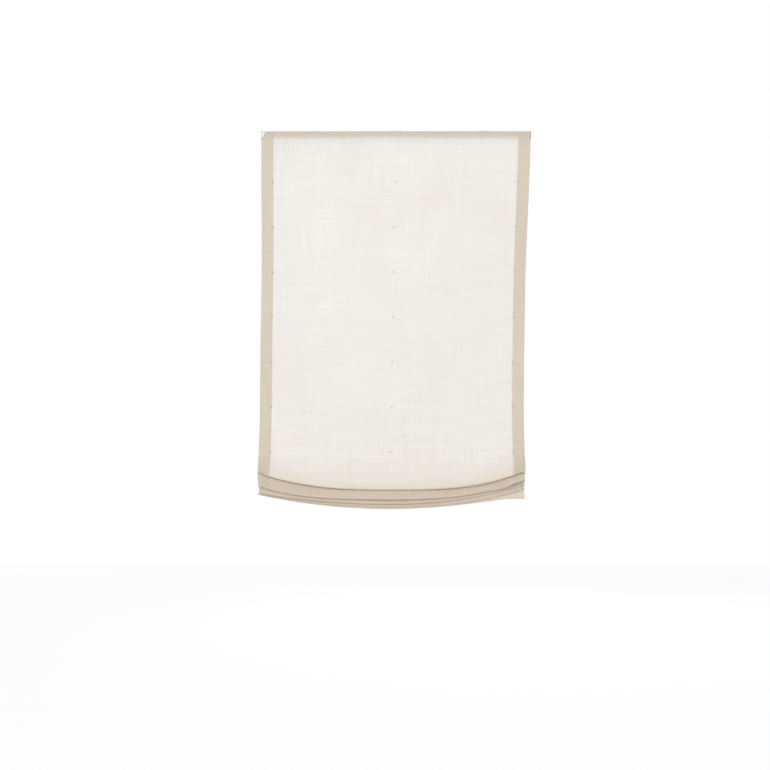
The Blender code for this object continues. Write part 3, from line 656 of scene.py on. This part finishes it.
class Look(Nodes):
    """A material whose first shader is a Principled one."""

    def __init__(self, name, roughness=0.5, metallic=0.0):
        self.material = bpy.data.materials.new(name)
        self.material.use_nodes = True
        super().__init__(self.material.node_tree)
        self.shader = self.nodes["Principled BSDF"]
        self.feed(self.shader.inputs["Roughness"], roughness)
        self.feed(self.shader.inputs["Metallic"], metallic)

    def place(self, scale=(1, 1, 1), attribute=None, shift=0.0):
        """Places on the piece in metres, times a scale for each axis."""
        if attribute:
            source = self.add("Attribute", {"attribute_name": attribute}).outputs["Vector"]
        else:
            source = self.add("TexCoord").outputs["Object"]
        location = [shift * way for way in SHIFT_WAY]
        made = self.add("Mapping", Vector=source, Scale=scale, Location=location)
        return made.outputs["Vector"]

    def noise(self, scale, detail, attribute=None, shift=0.0):
        """A noise; its scale is one number, or one for each axis."""
        scale = scale if isinstance(scale, tuple) else (scale, scale, scale)
        vector = self.place(scale, attribute, shift)
        return self.add("TexNoise", Vector=vector, Scale=1.0, Detail=detail).outputs["Fac"]

    def base(self, colour):
        self.feed(self.shader.inputs["Base Color"], colour)

    def tones(self, value, dark, light, span=NOISE_SPAN):
        """Colours the piece from dark to light over a range of a noise."""
        self.base(self.mix(self.span(value, *span), dark, light))

    def rough(self, value, low, high):
        """Lets a noise change the roughness from low to high."""
        self.feed(self.shader.inputs["Roughness"], self.span(value, *NOISE_SPAN, low, high))

    def bump(self, height, distance, strength):
        made = self.add("Bump", Height=height, Strength=strength, Distance=distance)
        self.feed(self.shader.inputs["Normal"], made.outputs["Normal"])

    def surface(self, factor, first, second):
        """Makes the piece's surface a mix of two shaders."""
        made = self.add("MixShader")
        for socket, value in zip(made.inputs, (factor, first.outputs[0], second.outputs[0])):
            self.links.new(value, socket)
        self.links.new(made.outputs[0], self.nodes["Material Output"].inputs["Surface"])


def grey(value):
    return (value, value, value, 1.0)


def yarn_tones(look):
    """The sum of the linen's slubs, and how much slubs, bands and clouds darken it."""
    slubs, darker = [], []
    for scale, detail, shift, (low, high), dark in SLUBS:
        slub = look.span(look.noise(scale, detail, "flat_place", shift), low, high)
        slubs.append(slub)
        darker.append(look.math("MULTIPLY", slub, dark))
    shade = look.math("ADD", *darker)
    for scale, detail, shift, (low, high), dark in BANDS:
        band = look.noise(scale, detail, "flat_place", shift)
        shade = look.math("ADD", shade, look.span(band, low, high, -dark, dark))
    return look.math("ADD", *slubs), shade


def linen_look():
    """Semi-sheer linen: part of the light goes through, less in the hems and the folds, whose
    darker colours are partly painted shade.
    """
    look = Look("linen", roughness=0.92)
    slubs, shade = yarn_tones(look)
    light = look.math("SUBTRACT", 1.0, shade)
    tint = look.add("CombineColor", Red=light, Green=look.math("POWER", light, GREEN_POWER),
                    Blue=look.math("POWER", light, BLUE_POWER)).outputs[0]
    hem = look.add("Attribute", {"attribute_name": "hem"}).outputs["Fac"]
    fold = look.add("Attribute", {"attribute_name": "fold"}).outputs["Fac"]
    near, far = look.span(fold, 0.0, 0.5), look.span(fold, 0.5, 1.0)

    # painted shade: the hems, the folds and the band above the first fold are coloured darker
    # and warmer than the field
    def painted_shade_zones(field, shade_above_fold, hem_colour_shaded, fold_colour_shaded):
        colour = look.mix(hem, look.mix(near, field, shade_above_fold), hem_colour_shaded)
        return look.mix(1.0, look.mix(far, colour, fold_colour_shaded), tint, "MULTIPLY")

    look.base(painted_shade_zones(FIELD_BACK, NEAR_SHADE_BACK, HEM_SHADE_BACK, FOLD_SHADE_BACK))
    through = painted_shade_zones(FIELD_THROUGH, NEAR_SHADE_THROUGH, HEM_SHADE_THROUGH, FOLD_SHADE_THROUGH)
    share = look.span(hem, 0.0, 1.0, FIELD_SHARE, HEM_SHARE)
    shade_above_fold = look.math("SUBTRACT", near, far)
    near_shade_only = look.math("MULTIPLY", shade_above_fold, look.span(hem, 0, 1, 1, 0))
    share = look.math("ADD", share, look.math("MULTIPLY", near_shade_only, NEAR_SHADE_SHARE))

    yarns = look.add("SeparateXYZ", Vector=look.place(attribute="flat_place")).outputs
    turn = 2 * math.pi / YARN_PITCH
    warp, weft = (look.math("SINE", look.math("MULTIPLY", yarns[axis], turn)) for axis in (0, 1))
    weave = look.math("MULTIPLY", warp, weft)
    height = look.math("ADD", look.math("MULTIPLY", weave, WEAVE_HEIGHT), slubs)
    look.bump(height, 0.00018, 0.6)
    look.surface(share, look.shader, look.add("BsdfTranslucent", Color=through))
    return look.material


def painted_steel_look():
    """Pale paint with a slight orange peel."""
    look = Look("painted_steel")
    cloud = look.noise((9, 30, 30), 3, shift=3.0)
    look.tones(cloud, (0.80, 0.80, 0.83, 1), (0.84, 0.84, 0.855, 1))
    look.rough(cloud, 0.34, 0.44)
    look.bump(look.noise(700, 2), 0.00008, 0.5)
    return look.material


def plastic_look(name, dark, light, roughness):
    """Moulded plastic with a fine grain and slight clouding."""
    look = Look(name)
    cloud = look.noise(60, 3)
    look.tones(cloud, dark, light)
    look.rough(cloud, roughness - 0.05, roughness + 0.06)
    look.bump(look.noise(2600, 1, shift=5.0), 0.00004, 0.5)
    return look.material


def metal_look(name, dark, light, roughness, streak):
    """Plated or rolled metal with streaks along X where streak is over 1."""
    look = Look(name, metallic=1.0)
    look.tones(look.noise((140 / streak, 140, 140), 4), dark, light)
    fine = look.noise((1800 / streak, 1800, 1800), 2, shift=2.0)
    look.rough(fine, roughness - 0.07, roughness + 0.1)
    look.bump(fine, 0.00005, 0.4)
    return look.material


def clear_look():
    """Clear moulded plastic, a little cloudy."""
    look = Look("clear_plastic")
    cloud = look.noise(400, 2)
    look.base(look.mix(cloud, (0.94, 0.94, 0.93, 1), (0.99, 0.99, 0.985, 1)))
    look.rough(cloud, 0.08, 0.2)
    look.feed(look.shader.inputs["Transmission Weight"], 0.85)
    look.feed(look.shader.inputs["IOR"], 1.49)
    return look.material


def cord_look():
    """White braided cord: two sets of slanting strands."""
    look = Look("braided_cord", roughness=0.85)
    parts = look.add("SeparateXYZ", Vector=look.place()).outputs
    turn = 2 * math.pi / BRAID_PITCH
    run = look.math("MULTIPLY", parts[2], turn)
    slant = look.math("MULTIPLY", look.math("ADD", parts[0], parts[1]), turn)
    strands = [look.math("SINE", look.math(way, run, slant)) for way in ("ADD", "SUBTRACT")]
    braid = look.math("MAXIMUM", *strands)
    look.tones(braid, (0.70, 0.68, 0.63, 1), (0.88, 0.87, 0.83, 1), (-0.6, 1.0))
    look.bump(braid, 0.0002, 0.7)
    return look.material


def tape_look(name, pitch):
    """Hook or loop tape: a dense pile of small hooks or hairs."""
    look = Look(name, roughness=0.95)
    pile = look.noise(1 / pitch, 3)
    look.tones(pile, (0.66, 0.65, 0.62, 1), (0.86, 0.85, 0.82, 1))
    look.bump(pile, 0.0004, 0.8)
    return look.material


def thread_look(name, dark, light):
    """Twisted sewing thread."""
    look = Look(name, roughness=0.8)
    twist = look.noise(1500, 2)
    look.tones(twist, dark, light, (0.35, 0.65))
    look.bump(twist, 0.0001, 0.6)
    return look.material


def floor_look():
    """Pale floor: it sends back the light, and is lifted to white where a camera sees it."""
    look = Look("floor", roughness=1.0)
    look.base(grey(FLOOR_BASE))
    look.feed(look.shader.inputs["Specular IOR Level"], 0.0)
    away = look.add("VectorMath", {"operation": "LENGTH"}, Vector=look.place((1, 1, 0)))
    lift = look.span(away.outputs["Value"], *FLOOR_FADE, *FLOOR_LIFT)
    white = look.add("Emission", Color=grey(1.0), Strength=lift)
    faint = look.add("BsdfDiffuse", Color=grey(FLOOR_SEEN))
    seen = look.add("AddShader")
    for socket, shader in zip(seen.inputs, (faint, white)):
        look.links.new(shader.outputs[0], socket)
    look.surface(look.add("LightPath").outputs["Is Camera Ray"], look.shader, seen)
    return look.material


def soften_edges(obj, angle):
    """Rounds every edge that is sharper than an angle in degrees."""
    soft = obj.modifiers.new("soft edges", "BEVEL")
    soft.width = SOFT_EDGE
    soft.segments = 2
    soft.limit_method = "ANGLE"
    soft.angle_limit = math.radians(angle)
    soft.harden_normals = True


def keep_node(name, material, soft=True):
    """A CAD node whose shape is right: a better material, and softer edges."""
    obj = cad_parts[name]
    obj.data.materials.clear()
    obj.data.materials.append(material)
    if soft:
        soften_edges(obj, SOLID_ANGLE)


def add_piece(name, bm, body, material, nodes=()):
    """Turns a bmesh into a smooth piece of the object."""
    mesh = bpy.data.meshes.new(name)
    bm.to_mesh(mesh)
    bm.free()
    mesh.polygons.foreach_set("use_smooth", [True] * len(mesh.polygons))
    mesh.materials.append(material)
    obj = bpy.data.objects.new(name, mesh)
    bpy.context.scene.collection.objects.link(obj)
    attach(obj, body)
    if nodes:
        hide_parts(*nodes)
    return obj


def join_rings(bm, first, second, turned=False):
    """Faces between two closed lines with as many points, or wound the other way."""
    for a, b, c, d in zip(first, first[1:] + first[:1], second[1:] + second[:1], second):
        bm.faces.new((a, d, c, b) if turned else (a, b, c, d))


def tube(bm, path, radius):
    """A closed round tube along a path, added to a bmesh."""
    path = [Vector(point) for point in path]
    angles = [2 * math.pi * s / TUBE_SIDES for s in range(TUBE_SIDES)]
    rings = []
    side = None
    for i, point in enumerate(path):
        ahead = path[min(i + 1, len(path) - 1)] - path[max(i - 1, 0)]
        ahead.normalize()
        if side is None:
            side = ahead.orthogonal().normalized()
        side = (side - ahead * side.dot(ahead)).normalized()
        other = ahead.cross(side)
        outs = [side * math.cos(a) + other * math.sin(a) for a in angles]
        rings.append([bm.verts.new(point + out * radius) for out in outs])
    for first, second in zip(rings, rings[1:]):
        join_rings(bm, first, second)
    bm.faces.new(rings[0][::-1])
    bm.faces.new(rings[-1])


def ring_piece(name, row, sign, material):
    """One clear ring, round in section."""
    x, depth = column_place(sign, row)
    middle = Vector((x, RING_Y, -depth))
    around, section = RING_STEPS
    bm = bmesh.new()
    rings = []
    for i in range(around):
        a = 2 * math.pi * i / around
        out = Vector((math.cos(a), math.sin(a), 0))
        ring = []
        for j in range(section):
            b = 2 * math.pi * j / section
            offset = out * (RING_RADIUS - RING_WIRE + RING_WIRE * math.cos(b))
            rise = Vector((0, 0, RING_WIRE * math.sin(b)))
            ring.append(bm.verts.new(middle + offset + rise))
        rings.append(ring)
    for first, second in zip(rings, rings[1:] + rings[:1]):
        join_rings(bm, first, second, turned=True)
    return add_piece(f"clear_{name}", bm, "shade", material, [name])


def hexagon_radius(radius, angle):
    """Distance to the side of a hexagon whose corners lie at a radius."""
    return radius * math.cos(math.pi / 6) / math.cos(angle % (math.pi / 3) - math.pi / 6)


def lathe(bm, profile, at, axis, steps, hexagon=None):
    """Turns a closed profile of (along, radius) about an axis.

    Where the radius is that of the hexagon, the surface has six flat sides.
    """
    rings = []
    for along, radius in profile:
        ring = []
        for s in range(steps):
            a = 2 * math.pi * s / steps
            flat = hexagon and abs(radius - hexagon) < SAME_RADIUS
            r = hexagon_radius(radius, a) if flat else radius
            round_axis = (r * math.cos(a), r * math.sin(a))
            point = (along, *round_axis) if axis == "X" else (*round_axis, along)
            ring.append(bm.verts.new(Vector(at) + Vector(point)))
        rings.append(ring)
    for first, second in zip(rings, rings[1:] + rings[:1]):
        join_rings(bm, first, second)
    bmesh.ops.recalc_face_normals(bm, faces=bm.faces)


def spool_pieces(material):
    """The three spools, turned, with their hexagonal bores."""
    for label, _ in COLUMNS:
        low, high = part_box(f"cord_spool_{label}")
        reach = (high.x - low.x) / 2
        end = SPOOL_HALF + FLANGE_THICK
        right = [(SPOOL_HALF, SPOOL_CORE), (SPOOL_HALF, SPOOL_FLANGE), (end, SPOOL_FLANGE),
                 (end, SPOOL_HUB), (reach, SPOOL_HUB), (reach, SPOOL_BORE)]
        left = [(-x, r) for x, r in reversed(right)]
        bm = bmesh.new()
        lathe(bm, left + right, (low + high) / 2, "X", SPOOL_STEPS, hexagon=SPOOL_BORE)
        obj = add_piece(f"turned_spool_{label}", bm, "shaft", material,
                        [f"cord_spool_{label}"])
        soften_edges(obj, SPOOL_ANGLE)


def bead_pieces(material):
    """The clear beads at the cords' ends."""
    for label, _ in COLUMNS:
        low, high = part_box(f"cord_orb_{label}")
        radius = (high.z - low.z) / 2
        lip = math.asin(BEAD_BORE / radius)
        turns = [lip + (math.pi - 2 * lip) * i / BEAD_ARCS for i in range(BEAD_ARCS + 1)]
        profile = [(-radius * math.cos(a), radius * math.sin(a)) for a in turns]
        bm = bmesh.new()
        lathe(bm, profile, (low + high) / 2, "Z", BEAD_STEPS)
        add_piece(f"clear_bead_{label}", bm, "shade", material,
                  [f"cord_orb_{label}"])


def tack_cross(bm, x, face, z):
    """Two crossed stitches on the cloth's face."""
    wide, tall = CROSS_HALF
    for way in (-1, 1):
        path = []
        for i in range(CROSS_ARCS + 1):
            t = i / CROSS_ARCS
            bulge = CROSS_BULGE * math.sin(math.pi * t)
            along = 2 * t - 1
            path.append((x + way * wide * along, face - bulge + CROSS_SINK, z + tall * along))
        tube(bm, path, CROSS_THREAD)


def tack_loops(bm, x, z):
    """Two turns of thread through the cloth and round the ring."""
    for shift in LOOP_SHIFTS:
        path = []
        for i in range(LOOP_ARCS + 1):
            a = 2 * math.pi * i / LOOP_ARCS
            y = CLOTH_BACK + LOOP_BEHIND - LOOP_STRETCH * LOOP_RADIUS * math.cos(a)
            path.append((x + shift, y, z + LOOP_RADIUS * math.sin(a)))
        tube(bm, path, LOOP_THREAD)


def tacks(material):
    """Thread that sews each ring on; the middle column's lies in the single cloth."""
    for label, sign in COLUMNS:
        bm = bmesh.new()
        face = CLOTH_BACK - HEM_THICK + (0.0 if sign else SINGLE_CLOTH_SINK)
        for row in range(ALL_ROWS):
            x, depth = column_place(sign, row)
            tack_cross(bm, x, face, -depth)
            tack_loops(bm, x, -depth)
        add_piece(f"tack_thread_{label}", bm, "shade", material)


def camera_view(scene):
    """The photograph's view."""
    camera = bpy.data.cameras.new("camera")
    camera.sensor_width = CAMERA_SENSOR
    camera.lens = CAMERA_LENS
    obj = bpy.data.objects.new("camera", camera)
    obj.location = CAMERA_AT
    obj.rotation_euler = (math.radians(90), 0, 0)
    scene.collection.objects.link(obj)
    scene.camera = obj
    scene.view_settings.view_transform = "Standard"


def white_world(scene):
    """Soft light from all round, and plain white where it is seen."""
    world = bpy.data.worlds.new("studio")
    world.use_nodes = True
    scene.world = world
    tree = Nodes(world.node_tree)
    rays = tree.add("LightPath").outputs
    seen = tree.math("MAXIMUM", rays["Is Camera Ray"], rays["Is Glossy Ray"])
    seen = tree.math("MAXIMUM", seen, rays["Is Transmission Ray"])
    sky = tree.nodes["Background"]
    tree.feed(sky.inputs["Color"], grey(1.0))
    tree.feed(sky.inputs["Strength"], tree.span(seen, 0.0, 1.0, WORLD_LEVEL, 1.0))


def lamps(scene):
    """Large square lamps, two in front and one behind the cloth."""
    for name, place, aim, size, power in LAMPS:
        lamp = bpy.data.lights.new(name, "AREA")
        lamp.shape = "SQUARE"
        lamp.size = size
        lamp.energy = power
        obj = bpy.data.objects.new(name, lamp)
        obj.location = place
        obj.rotation_euler = (Vector(aim) - Vector(place)).to_track_quat("-Z", "Y").to_euler()
        scene.collection.objects.link(obj)


def pale_floor(scene):
    """A wide floor, well below the hanging shade."""
    bm = bmesh.new()
    bmesh.ops.create_grid(bm, x_segments=1, y_segments=1, size=FLOOR_HALF)
    bmesh.ops.translate(bm, vec=(0, 0, FLOOR_Z), verts=bm.verts)
    mesh = bpy.data.meshes.new("floor")
    bm.to_mesh(mesh)
    bm.free()
    floor = bpy.data.objects.new("floor", mesh)
    scene.collection.objects.link(floor)
    mesh.materials.append(floor_look())


scene = bpy.context.scene
camera_view(scene)
white_world(scene)
lamps(scene)
pale_floor(scene)

cloth = linen_cloth()
cloth.data.materials.append(linen_look())
clear = clear_look()
for label, sign in COLUMNS:
    for row in range(ALL_ROWS):
        ring_piece(f"ring_{label}_{row + 1}", row, sign, clear)
spool_white = plastic_look("white_plastic", (0.80, 0.80, 0.79, 1), (0.86, 0.86, 0.85, 1), 0.42)
grey_plastic = plastic_look("grey_plastic", (0.50, 0.50, 0.51, 1), (0.58, 0.58, 0.59, 1), 0.48)
# painted shade: the end caps are coloured a darker lilac grey for the shade that falls on them
cap_shade_grey = plastic_look("cap_plastic_shaded", (0.56, 0.55, 0.60, 1), (0.62, 0.61, 0.66, 1), 0.45)
zinc = metal_look("zinc", (0.55, 0.56, 0.58, 1), (0.70, 0.71, 0.73, 1), 0.34, 3)
spring_steel = metal_look("spring_steel", (0.36, 0.37, 0.39, 1), (0.48, 0.49, 0.51, 1), 0.26, 6)
tack_thread = thread_look("tack_thread", (0.20, 0.18, 0.15, 1), (0.32, 0.29, 0.25, 1))
braid = cord_look()
spool_pieces(spool_white)
bead_pieces(clear)
tacks(tack_thread)
for label in ("left", "right"):
    keep_node(f"end_cap_{label}", cap_shade_grey)
for label, _ in COLUMNS:
    keep_node(f"bracket_{label}", zinc)
    keep_node(f"spool_cradle_{label}", grey_plastic)
    keep_node(f"lift_cord_{label}", braid, soft=False)
keep_node("lift_shaft", zinc)
for name in ("motor_base", "motor_cover"):
    keep_node(name, grey_plastic)
for name in ("output_drum", "storage_drum"):
    keep_node(name, spool_white)
keep_node("headrail", painted_steel_look(), soft=False)
keep_node("spring_band", spring_steel, soft=False)
keep_node("hook_tape", tape_look("hook_tape", 0.0011), soft=False)
keep_node("loop_tape", tape_look("loop_tape", 0.0006), soft=False)
